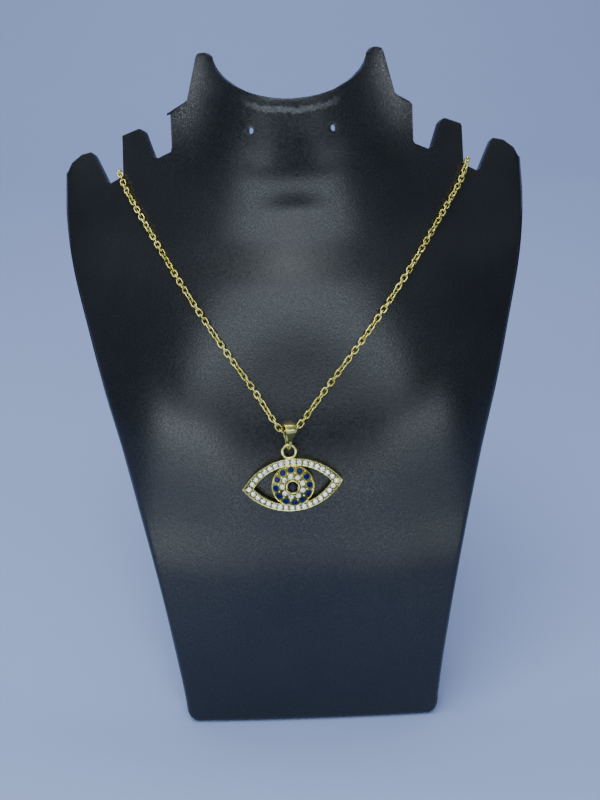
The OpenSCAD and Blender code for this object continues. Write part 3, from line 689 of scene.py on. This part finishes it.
def makeStand():
    bm = bmesh.new()
    bmesh.ops.create_grid(bm, x_segments=standMesh["columns"], y_segments=standMesh["rows"], size=1)
    top = stand["height"] + standMesh["above"]
    r = stand["footRadius"]
    for v in bm.verts:
        u, t = v.co.x, (v.co.y + 1) / 2
        u = math.copysign(1 - (1 - abs(u)) ** standMesh["crowdSides"], u)
        z = top * t ** standMesh["crowdFoot"]
        half = halfWidth(z)
        if z < r:
            half -= r - math.sqrt(r * r - (r - z) ** 2)
        v.co = (u * half, 0, z)
    bmesh.ops.dissolve_degenerate(bm, edges=bm.edges, dist=standMesh["sliver"])
    cutAlong(bm, topOutline())
    tidyCut(bm)
    for side in (-1, 1):
        punchHole(bm, side * stand["holeGap"] / 2, stand["height"] - stand["scoopDepth"] - stand["holeDrop"])
    sideEdges = []
    for e in bm.edges:
        if e.is_boundary:
            a, b = e.verts[0].co, e.verts[1].co
            if all(footDistance(p.x, p.z, halfWidth(p.z)) < standMesh["edgeWithin"] for p in (a, b)):
                sideEdges.append(e)
    bend = stand["edgeRadius"]
    for v in bm.verts:
        half = halfWidth(v.co.z)
        away = max(0, footDistance(v.co.x, v.co.z, half))
        y = frontY(v.co.x, v.co.z)
        if away < bend:
            y += bend - math.sqrt(bend**2 - (bend - away) ** 2)
        v.co.y = y
    print("  front", len(bm.faces), "faces,", len(sideEdges), "edges turned back")
    reached = bend
    for depth in (*standMesh["turnedRows"], stand["turnedBack"]):
        made = bmesh.ops.extrude_edge_only(bm, edges=sideEdges)["geom"]
        bmesh.ops.translate(bm, verts=vertsOf(made), vec=(0, depth - reached, 0))
        sideEdges = edgesOf(made)
        reached = depth
    bmesh.ops.recalc_face_normals(bm, faces=bm.faces)
    front = max(bm.faces, key=lambda f: f.calc_area())
    if front.normal.y > 0:
        bmesh.ops.reverse_faces(bm, faces=bm.faces)
    obj = newObject("standShell", bm, "stand", ["black_sheet"])
    wall = obj.modifiers.new("wall", "SOLIDIFY")
    wall.thickness = stand["sheet"]
    wall.offset = -1
    wall.use_even_offset = True
    softenEdges(obj, "rim", stand["rim"], stand["rimSegments"])
    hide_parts("stand_shell")


sliver = {
    "from": (-27.6 * mm, 153.6 * mm),
    "to": (-32.5 * mm, 151.6 * mm),
    "root": 1.3 * mm,  # height where it leaves the sheet
    "tip": 0.5 * mm,  # height at its free end
    "sheet": 0.9 * mm,
    "steps": 4,
}


def makeSliver():
    # a strip torn off along the neck's left corner, still standing out from it
    bm = bmesh.new()
    rings = []
    for k in range(sliver["steps"] + 1):
        t = k / sliver["steps"]
        x, z = (a + (b - a) * t for a, b in zip(sliver["from"], sliver["to"]))
        tall = sliver["root"] + (sliver["tip"] - sliver["root"]) * t
        y = frontY(x, z) + stand["sheet"] / 2
        rings.append([bm.verts.new((x, y + a * sliver["sheet"] / 2, z + b * tall / 2))
                      for a, b in ((-1, -1), (1, -1), (1, 1), (-1, 1))])
    for low, high in zip(rings, rings[1:]):
        for k in range(4):
            bm.faces.new((low[k], low[(k + 1) % 4], high[(k + 1) % 4], high[k]))
    bm.faces.new(rings[0])
    bm.faces.new(rings[-1])
    bmesh.ops.recalc_face_normals(bm, faces=bm.faces)
    obj = newObject("standSliver", bm, "stand", ["black_sheet"], smooth=False)


makeStand()
makeSliver()
print("stand made")


# Pendant: its own frame has x along the eye, z up and y towards the chest

eye = {
    "length": 24.9 * mm,
    "height": 13.2 * mm,
    "depth": 2 * mm,
    "openingLength": 19.4 * mm,
    "openingHeight": 9.9 * mm,
    "toLeft": 3 * mm,
    "aboveFloor": 67.1 * mm,
    "tilt": 4.2,  # degrees
    "offChest": 0.5 * mm,
    "tipIn": 0.25 * mm,  # the row of stones starts this far inside the band's tips
    "softEdge": 0.07 * mm,
    "lip": 0.24 * mm,  # beside the channel that the stones sit in
    "channel": 0.14 * mm,  # its depth
    "steps": 26,
}
iris = {
    "diameter": 10.7 * mm,
    "drop": 0.25 * mm,
    "rim": 1.3 * mm,  # thickness at its edge
    "rise": 1.3 * mm,  # of the dome over the edge
    "fore": 0.4 * mm,  # its back lies this far in front of the band's
    "collar": 3.5 * mm,
    "collarRise": 0.35 * mm,
    "softEdge": 0.15 * mm,
    "softMiddle": 0.3,  # how far in the middle of the soft edge lies, as a share of it
    "collarGap": 0.2 * mm,  # the dome ends this far from the collar
    "collarStep": 0.1 * mm,  # and the collar starts this far in front of that
    "plateEdge": 0.35 * mm,  # edge left in plain gold round the plate under the stones, which is painted darker as shade
    "domeSteps": 12,
    "collarSteps": 6,
    "sides": 72,
}
stones = {
    "outline": 1.25 * mm,
    "outlineCount": 16,
    "blue": 1.5 * mm,
    "blueRing": 4.2 * mm,
    "blueCount": 12,
    "blueTurn": 90.0,
    "white": 1.3 * mm,
    "whiteRing": 2.6 * mm,
    "whiteCount": 9,
    "whiteTurn": 95.0,
    "pupil": 2.6 * mm,
    "gap": 0.1 * mm,
    "lift": 0.03 * mm,  # of the girdle over the metal
    "pupilSink": 0.06 * mm,  # of the pupil's table below its collar
    "crown": 0.16,  # these are shares of the diameter: heights of crown, girdle and pavilion
    "girdle": 0.06,
    "pavilion": 0.34,
    "table": 0.58,  # its diameter
    "kite": 0.405,  # reach of the kites' outer corners
    "kiteHeight": 0.58,  # as a share of the crown
    "lower": 0.27,  # reach of the ring half-way down the pavilion
    "lowerDepth": 0.5,  # as a share of the pavilion
}
prongs = {
    "radius": 0.2 * mm,
    "out": 0.68 * mm,  # from the middle of the row
    "irisRadius": 0.28 * mm,
    "tipSize": 1.25,  # share of the radius at the two tips
    "subdivisions": 2,
    "proud": 0.07 * mm,
    # at the two tips: how far out from the last stone, and how far up
    "tips": [(-0.8 * mm, 0), (0.9 * mm, 0), (0.62 * mm, 0.42 * mm), (0.62 * mm, -0.42 * mm)],
    # ring of stones, how far out from its middle, size
    "irisRings": [("blue", 0.66 * mm, 1.0), ("blue", -0.7 * mm, 1.1), ("white", -0.46 * mm, 0.9)],
}
ring = {
    "diameter": 4.1 * mm,
    "wire": 0.75 * mm,
    "sink": 0.35 * mm,  # into the band
    "sides": 14,
    "steps": 48,
}


def eyeFrame():
    x, z = -eye["toLeft"], eye["aboveFloor"]
    step = stand["sheet"] / 3
    lean = math.atan((frontY(x, z + step) - frontY(x, z - step)) / (2 * step))
    off = eye["offChest"] + eye["depth"] / 2
    place = Vector((x, frontY(x, z), z)) + off * Vector((0, -math.cos(lean), math.sin(lean)))
    turn = Matrix.Rotation(-lean, 4, "X") @ Matrix.Rotation(-math.radians(eye["tilt"]), 4, "Y")
    return lean, Matrix.Translation(place) @ turn


eyeLean, eyeToStand = eyeFrame()
irisBack = eye["depth"] / 2 - iris["fore"]
irisEdge = irisBack - iris["rim"]
domeRadius = (iris["diameter"] ** 2 / 4 + iris["rise"] ** 2) / (2 * iris["rise"])
domeY = irisEdge - iris["rise"] + domeRadius
collarY = irisEdge - iris["rise"] - iris["collarRise"]
ringMid = (ring["diameter"] - ring["wire"]) / 2
ringZ = eye["height"] / 2 - ring["sink"] + ring["diameter"] / 2


def arcPoint(length, height, t, up, out=0.0):
    # point of an eye shape made of two arcs, and moved outwards by out
    r = (length**2 + height**2) / 4 / height
    a = math.asin(length / 2 / r) * t
    return Vector(((r + out) * math.sin(a), 0, up * ((r + out) * math.cos(a) - r + height / 2)))


def eyeLoop(bm, length, height, y):
    steps = eye["steps"]
    points = [arcPoint(length, height, k / steps, 1) for k in range(-steps, steps + 1)]
    points += [arcPoint(length, height, k / steps, -1) for k in range(steps - 1, -steps, -1)]
    return closedLoop(bm, [(p.x, y, p.z) for p in points])


def addBand(bm):
    part = bmesh.new()
    loops = eyeLoop(part, eye["length"], eye["height"], -eye["depth"] / 2)
    loops += eyeLoop(part, eye["openingLength"], eye["openingHeight"], -eye["depth"] / 2)
    slabBetween(part, loops, eye["depth"])
    face = [f for f in part.faces if f.normal.y < -0.9]
    bmesh.ops.inset_region(part, faces=face, thickness=eye["lip"], use_even_offset=True, depth=0)
    bmesh.ops.translate(part, verts=list({v for f in face for v in f.verts}), vec=(0, eye["channel"], 0))
    # the recessed channel floor takes the second slot, darker gold painted as shade
    for f in face:
        f.material_index = 1
    bevelSharp(part, eye["softEdge"])
    join(bm, part)


def addIris(bm):
    # spun from a profile of radius and y, from the middle of the back round to the pupil's seat
    part = bmesh.new()
    r, soft = iris["diameter"] / 2, iris["softEdge"]
    mid = soft * iris["softMiddle"]
    profile = [(0, irisBack), (r - soft, irisBack), (r - mid, irisBack - mid), (r, irisBack - soft),
               (r, irisEdge + soft)]
    collar = iris["collar"] / 2
    for k in range(iris["domeSteps"] + 1):
        out = r - mid - (r - collar - iris["collarGap"]) * k / iris["domeSteps"]
        profile.append((out, domeY - math.sqrt(domeRadius**2 - out**2)))
    seat = stones["pupil"] / 2 + stones["gap"]
    middle, lip = (collar + seat) / 2, (collar - seat) / 2
    profile.append((collar, profile[-1][1] - iris["collarStep"]))
    for k in range(iris["collarSteps"] + 1):
        a = math.pi * k / iris["collarSteps"]
        profile.append((middle + lip * math.cos(a), collarY + lip - lip * math.sin(a)))
    profile += [(seat, irisEdge), (0, irisEdge)]
    verts = [part.verts.new((x, y, -iris["drop"])) for x, y in profile]
    edges = [part.edges.new(pair) for pair in zip(verts, verts[1:])]
    bmesh.ops.spin(part, geom=verts + edges, cent=(0, 0, -iris["drop"]), axis=(0, 1, 0), dvec=(0, 0, 0),
                   angle=2 * math.pi, steps=iris["sides"], use_merge=True)
    seal(part)
    # the plate between the stones takes the second slot, darker gold painted as shade
    for f in part.faces:
        centre = f.calc_center_median()
        away = math.hypot(centre.x, centre.z + iris["drop"])
        if f.normal.y < -0.5 and collar < away < r - iris["plateEdge"]:
            f.material_index = 1
    join(bm, part)


def outlineRow():
    # places along the row of clear stones, with the arc's side and the place as a share from tip to tip
    n = stones["outlineCount"]
    row = [(1, 2 * k / (n + 1) - 1) for k in range(n + 2)]
    return row + [(-1, 2 * k / (n + 1) - 1) for k in range(1, n + 1)]


rowLength = (eye["length"] + eye["openingLength"]) / 2 - 2 * eye["tipIn"]
rowHeight = (eye["height"] + eye["openingHeight"]) / 2


def onDome(reach, degrees):
    # place on the iris, reach away from its middle, facing out of the dome
    middle = Matrix.Translation((0, domeY, -iris["drop"]))
    around = Matrix.Rotation(-math.radians(degrees), 4, "Y")
    down = Matrix.Rotation(math.asin(reach / domeRadius), 4, "Z")
    return middle @ around @ down @ Matrix.Translation((0, -domeRadius, 0)) @ outwards


def addBead(bm, matrix, radius):
    bmesh.ops.create_icosphere(bm, subdivisions=prongs["subdivisions"], radius=radius, matrix=matrix)


def addProngs(bm):
    # beads raised from the metal on both sides of each gap between two stones
    n, y = stones["outlineCount"], -eye["depth"] / 2 - prongs["proud"]
    for up in (-1, 1):
        for k in range(n + 1):
            t = (2 * k + 1) / (n + 1) - 1
            for side in (-1, 1):
                p = arcPoint(rowLength, rowHeight, t, up, side * prongs["out"])
                p.y = y
                addBead(bm, Matrix.Translation(p), prongs["radius"])
    for out, up in prongs["tips"]:
        tip = Matrix.Translation((out + math.copysign(rowLength / 2, out), y, up))
        addBead(bm, tip, prongs["radius"] * prongs["tipSize"])
    for name, out, share in prongs["irisRings"]:
        count = stones[name + "Count"]
        for k in range(count):
            turn = stones[name + "Turn"] - 360 / count * (k + 0.5)
            place = onDome(stones[name + "Ring"] + out, turn)
            addBead(bm, place @ Matrix.Translation((0, 0, prongs["proud"])), prongs["irisRadius"] * share)


def makeEyeSetting():
    bm = bmesh.new()
    addBand(bm)
    addIris(bm)
    loop = wireRing(ringMid, ring["wire"], ring["sides"], ring["steps"])
    join(bm, loop, Matrix.Translation((0, 0, ringZ)))
    addProngs(bm)
    bmesh.ops.transform(bm, matrix=eyeToStand, verts=bm.verts)
    obj = newObject("eyeSetting", bm, "eye", ["gold", "seat_gold"])
    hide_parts("eye_setting")


def addStone(bm, diameter, matrix, lift):
    # round brilliant: a table, kites, a girdle and pavilion facets, as the hull of a few rings of points
    part = bmesh.new()
    crown, girdle, pavilion = (stones[k] * diameter for k in ("crown", "girdle", "pavilion"))
    table = stones["table"] / 2 * diameter
    # number of points, turn by this share of a step, reach, height over the girdle's top
    rings = [(8, 0.0, table, crown),
             (8, 0.5, diameter * stones["kite"], crown * stones["kiteHeight"]),
             (16, 0.0, diameter / 2, 0),
             (16, 0.0, diameter / 2, -girdle),
             (8, 0.0, diameter * stones["lower"], -girdle - pavilion * stones["lowerDepth"]),
             (1, 0.0, 0, -girdle - pavilion)]
    for count, shift, reach, up in rings:
        for k in range(count):
            a = 2 * math.pi * (k + shift) / count
            part.verts.new((reach * math.cos(a), reach * math.sin(a), up))
    bmesh.ops.convex_hull(part, input=part.verts)
    bmesh.ops.dissolve_limit(part, angle_limit=math.radians(1), verts=part.verts, edges=part.edges)
    join(bm, part, eyeToStand @ matrix @ Matrix.Translation((0, 0, lift)))


def stonePiece(name, nodes, slot, diameter, places, lift=stones["lift"]):
    bm = bmesh.new()
    for place in places:
        addStone(bm, diameter, place, lift)
    obj = newObject(name, bm, "eye", [slot], smooth=False)
    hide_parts(*nodes)


def makeStones():
    row = []
    for up, t in outlineRow():
        p = arcPoint(rowLength, rowHeight, t, up)
        p.y = -eye["depth"] / 2
        row.append(Matrix.Translation(p) @ outwards)
    stonePiece("outlineStones", ["outline_stones"], "clear_stone", stones["outline"], row)
    pupil = Matrix.Translation((0, collarY, -iris["drop"])) @ outwards
    stonePiece("pupilStone", ["pupil_stone"], "dark_stone", stones["pupil"], [pupil],
               -stones["crown"] * stones["pupil"] - stones["pupilSink"])
    for name, slot in (("blue", "blue_stone"), ("white", "clear_stone")):
        count = stones[name + "Count"]
        for k in range(count):
            place = onDome(stones[name + "Ring"], stones[name + "Turn"] - 360 / count * k)
            stonePiece(f"{name}Stone{k + 1}", [f"{name}_stone_{k + 1}"], slot, stones[name], [place])


makeEyeSetting()
makeStones()
print("pendant made")


# Bail: a strap folded round the ring below and the chain above

bail = {
    "topWidth": 3 * mm,
    "footWidth": 0.7 * mm,
    "sheet": 0.35 * mm,
    "footRadius": 0.85 * mm,
    "topRadius": 1.2 * mm,
    "rise": 4 * mm,
    "leanForward": 0.9 * mm,
    "turn": 25.0,  # degrees
    "softEdge": 0.09 * mm,
    "softSegments": 2,
    "plainEdge": 0.2 * mm,  # plain gold round the middle of its front, where a dark reflection is painted
    "darkReflectionTop": 0.6,  # the painted dark reflection ends this share of the top radius below the chain
    "arcSteps": 16,
    "longEdge": 1 * mm,  # longer edges of its path are cut
    "cuts": 5,
}


def bailPath():
    # closed line of y and z along the middle of the strap's thickness
    a, b = Vector((0, 0)), Vector((-bail["leanForward"], bail["rise"]))
    low, high = bail["footRadius"] + bail["sheet"] / 2, bail["topRadius"] + bail["sheet"] / 2
    aim, apart = math.atan2(b.y, b.x), math.acos((low - high) / b.length)
    n = bail["arcSteps"]
    path = []
    for k in range(n + 1):
        t = aim + apart + (2 * math.pi - 2 * apart) * k / n
        path.append(a + low * Vector((math.cos(t), math.sin(t))))
    for k in range(n + 1):
        t = aim - apart + 2 * apart * k / n
        path.append(b + high * Vector((math.cos(t), math.sin(t))))
    return path


def makeBail():
    bm = bmesh.new()
    edges = closedLoop(bm, [(0, p.x, p.y) for p in bailPath()])
    straight = [e for e in edges if e.calc_length() > bail["longEdge"]]
    bmesh.ops.subdivide_edges(bm, edges=straight, cuts=bail["cuts"])
    moved = set(vertsOf(bmesh.ops.extrude_edge_only(bm, edges=list(bm.edges))["geom"]))
    for v in bm.verts:
        share = (v.co.z - bail["footRadius"]) / (bail["rise"] - bail["footRadius"])
        width = bail["footWidth"] + (bail["topWidth"] - bail["footWidth"]) * min(1, max(0, share))
        v.co.x = width / 2 * (1 if v in moved else -1)
    bmesh.ops.recalc_face_normals(bm, faces=bm.faces)
    darkReflectionTop = bail["rise"] - bail["topRadius"] * bail["darkReflectionTop"]
    front = [f for f in bm.faces if f.calc_center_median().y < -bail["leanForward"] / 2
             and bail["footRadius"] < f.calc_center_median().z < darkReflectionTop]
    bmesh.ops.inset_region(bm, faces=front, thickness=bail["plainEdge"], use_even_offset=True, depth=0)
    # the middle of the front takes the second slot, darker gold painted as a dark reflection
    for f in front:
        f.material_index = 1
    hinge = eyeToStand @ Vector((0, 0, ringZ + ringMid))
    turn = Matrix.Rotation(-eyeLean, 4, "X") @ Matrix.Rotation(math.radians(bail["turn"]), 4, "Z")
    bmesh.ops.transform(bm, matrix=Matrix.Translation(hinge) @ turn, verts=bm.verts)
    obj = newObject("bailStrap", bm, "stand", ["gold", "seat_gold"])
    wall = obj.modifiers.new("wall", "SOLIDIFY")
    wall.thickness = bail["sheet"]
    wall.offset = 0
    softenEdges(obj, "soft", bail["softEdge"], bail["softSegments"])
    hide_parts("bail")


makeBail()
print("bail made")


# Chain: one link shape at every place. In front the places are read from the frame's own links.

chain = {
    "length": 2.4 * mm,
    "width": 1.65 * mm,
    "wire": 0.38 * mm,
    "pitch": 1.413 * mm,
    "roll": 101.0,  # degrees from each hidden link to the next
    "wireSides": 6,
    "endSteps": 6,
    "halvings": 60,  # to find the curve that the hidden chain hangs in
}
clasp = {
    "length": 9 * mm,
    "width": 4.2 * mm,
    "sheet": 1.4 * mm,
    "softEdge": 0.3 * mm,
    "softSegments": 3,
    "endSteps": 14,
    "jumpRing": 3.3 * mm,
    "jumpWire": 0.6 * mm,
    "jumpSides": 8,
    "jumpSteps": 28,
}


def linkMesh():
    bm = bmesh.new()
    bow, straight = (chain["width"] - chain["wire"]) / 2, chain["length"] - chain["width"]
    across = Matrix.Translation((straight / 2, -bow, 0)) @ Matrix.Rotation(math.pi / 2, 4, "Y")
    start = bmesh.ops.create_circle(bm, segments=chain["wireSides"], radius=chain["wire"] / 2, matrix=across)
    geom = start["verts"] + list(bm.edges)
    for side in (1, -1):
        made = bmesh.ops.spin(bm, geom=geom, cent=(side * straight / 2, 0, 0), axis=(0, 0, 1), dvec=(0, 0, 0),
                              angle=math.pi, steps=chain["endSteps"])["geom_last"]
        if side == 1:
            made = bmesh.ops.extrude_edge_only(bm, edges=edgesOf(made))["geom"]
            bmesh.ops.translate(bm, verts=vertsOf(made), vec=(-straight, 0, 0))
            geom = vertsOf(made) + edgesOf(made)
    loops = [e for e in bm.edges if e.is_boundary]
    bmesh.ops.bridge_loops(bm, edges=loops)
    bmesh.ops.recalc_face_normals(bm, faces=bm.faces)
    mesh = bpy.data.meshes.new("link")
    bm.to_mesh(mesh)
    bm.free()
    return mesh


def placesOfLinks(node):
    # centre and axes of each loose link of a frame node
    bm = bmesh.new()
    bm.from_mesh(frame["nodes"][node].data)
    bmesh.ops.remove_doubles(bm, verts=bm.verts, dist=weld)
    seen, places = set(), []
    for first in bm.verts:
        if first in seen:
            continue
        seen.add(first)
        queue, island = [first], []
        while queue:
            v = queue.pop()
            island.append(v.co)
            for e in v.link_edges:
                w = e.other_vert(v)
                if w not in seen:
                    seen.add(w)
                    queue.append(w)
        points = np.array(island)
        centre = points.mean(axis=0)
        axes = np.linalg.eigh(np.cov((points - centre).T))[1]
        along, across = Vector(axes[:, 2]), Vector(axes[:, 1])
        turn = Matrix((along, across, along.cross(across))).transposed().to_4x4()
        places.append(Matrix.Translation(Vector(centre)) @ turn)
    bm.free()
    return places


def linksAt(places):
    shape = linkMesh()
    size = len(shape.vertices)
    bm = bmesh.new()
    for place in places:
        bm.from_mesh(shape)
        bm.verts.ensure_lookup_table()
        bmesh.ops.transform(bm, matrix=place, verts=bm.verts[len(bm.verts) - size:])
    return bm


def chainPiece(name, node, bm):
    obj = newObject(name, bm, "stand", ["chain_gold"])
    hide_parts(node)


def makeChain():
    # the front links where the frame has them, and the hidden ones along a catenary to the clasp
    front = placesOfLinks("chain_front")
    print("  front links", len(front))
    chainPiece("chainFront", "chain_front", linksAt(front))
    low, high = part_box("clasp")
    middleY, lowest = (low[1] + high[1]) / 2, (low[2] + high[2]) / 2
    ends = sorted((p.translation for p in front), key=lambda p: abs(p.x) + p.y - p.z)[-2:]
    half = (abs(ends[0].x) + abs(ends[1].x)) / 2
    top = (ends[0].z + ends[1].z) / 2 - chain["pitch"] / 2
    small, large = half / 8, half * 8
    for k in range(chain["halvings"]):
        a = (small + large) / 2
        if a * (math.cosh(half / a) - 1) > top - lowest:
            small = a
        else:
            large = a
    reach = a * math.sinh(half / a)
    jump = clasp["length"] / 2 - clasp["sheet"] / 2 + clasp["jumpRing"] / 2 - clasp["jumpWire"]
    count = round((reach - jump) / chain["pitch"])
    step = (reach - jump) / count
    places = []
    for side in (-1, 1):
        for k in range(count):
            d = reach - (k + 0.5) * step
            x = a * math.asinh(d / a)
            slope = math.atan(math.sinh(x / a))
            place = Matrix.Translation((side * x, middleY, lowest + a * (math.cosh(x / a) - 1)))
            place = place @ Matrix.Rotation(-side * slope, 4, "Y")
            places.append(place @ Matrix.Rotation(math.radians(chain["roll"] * (k + 1)), 4, "X"))
    print("  back links", len(places))
    bm = linksAt(places)
    middle, wire = (clasp["jumpRing"] - clasp["jumpWire"]) / 2, clasp["jumpWire"]
    for side in (-1, 1):
        centre = (side * (clasp["length"] - clasp["sheet"]) / 2, middleY, lowest)
        jumpRing = wireRing(middle, wire, clasp["jumpSides"], clasp["jumpSteps"])
        join(bm, jumpRing, Matrix.Translation(centre) @ outwards)
    chainPiece("chainBack", "chain_back", bm)


def stadium(bm, length, width, y):
    steps, points = clasp["endSteps"], []
    for side, start in ((1, -90), (-1, 90)):
        for k in range(steps + 1):
            a = math.radians(start + 180 * k / steps)
            points.append((side * (length - width) / 2 + width / 2 * math.cos(a), y, width / 2 * math.sin(a)))
    return closedLoop(bm, points)


def makeClasp():
    bm = bmesh.new()
    hole = clasp["width"] - 2 * clasp["sheet"]
    loops = stadium(bm, clasp["length"], clasp["width"], -clasp["sheet"] / 2)
    loops += stadium(bm, clasp["length"] - clasp["width"] + hole, hole, -clasp["sheet"] / 2)
    slabBetween(bm, loops, clasp["sheet"])
    bevelSharp(bm, clasp["softEdge"], segments=clasp["softSegments"])
    low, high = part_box("clasp")
    bmesh.ops.translate(bm, verts=bm.verts, vec=(Vector(low) + Vector(high)) / 2)
    chainPiece("claspLink", "clasp", bm)


makeChain()
makeClasp()
print("chain made")
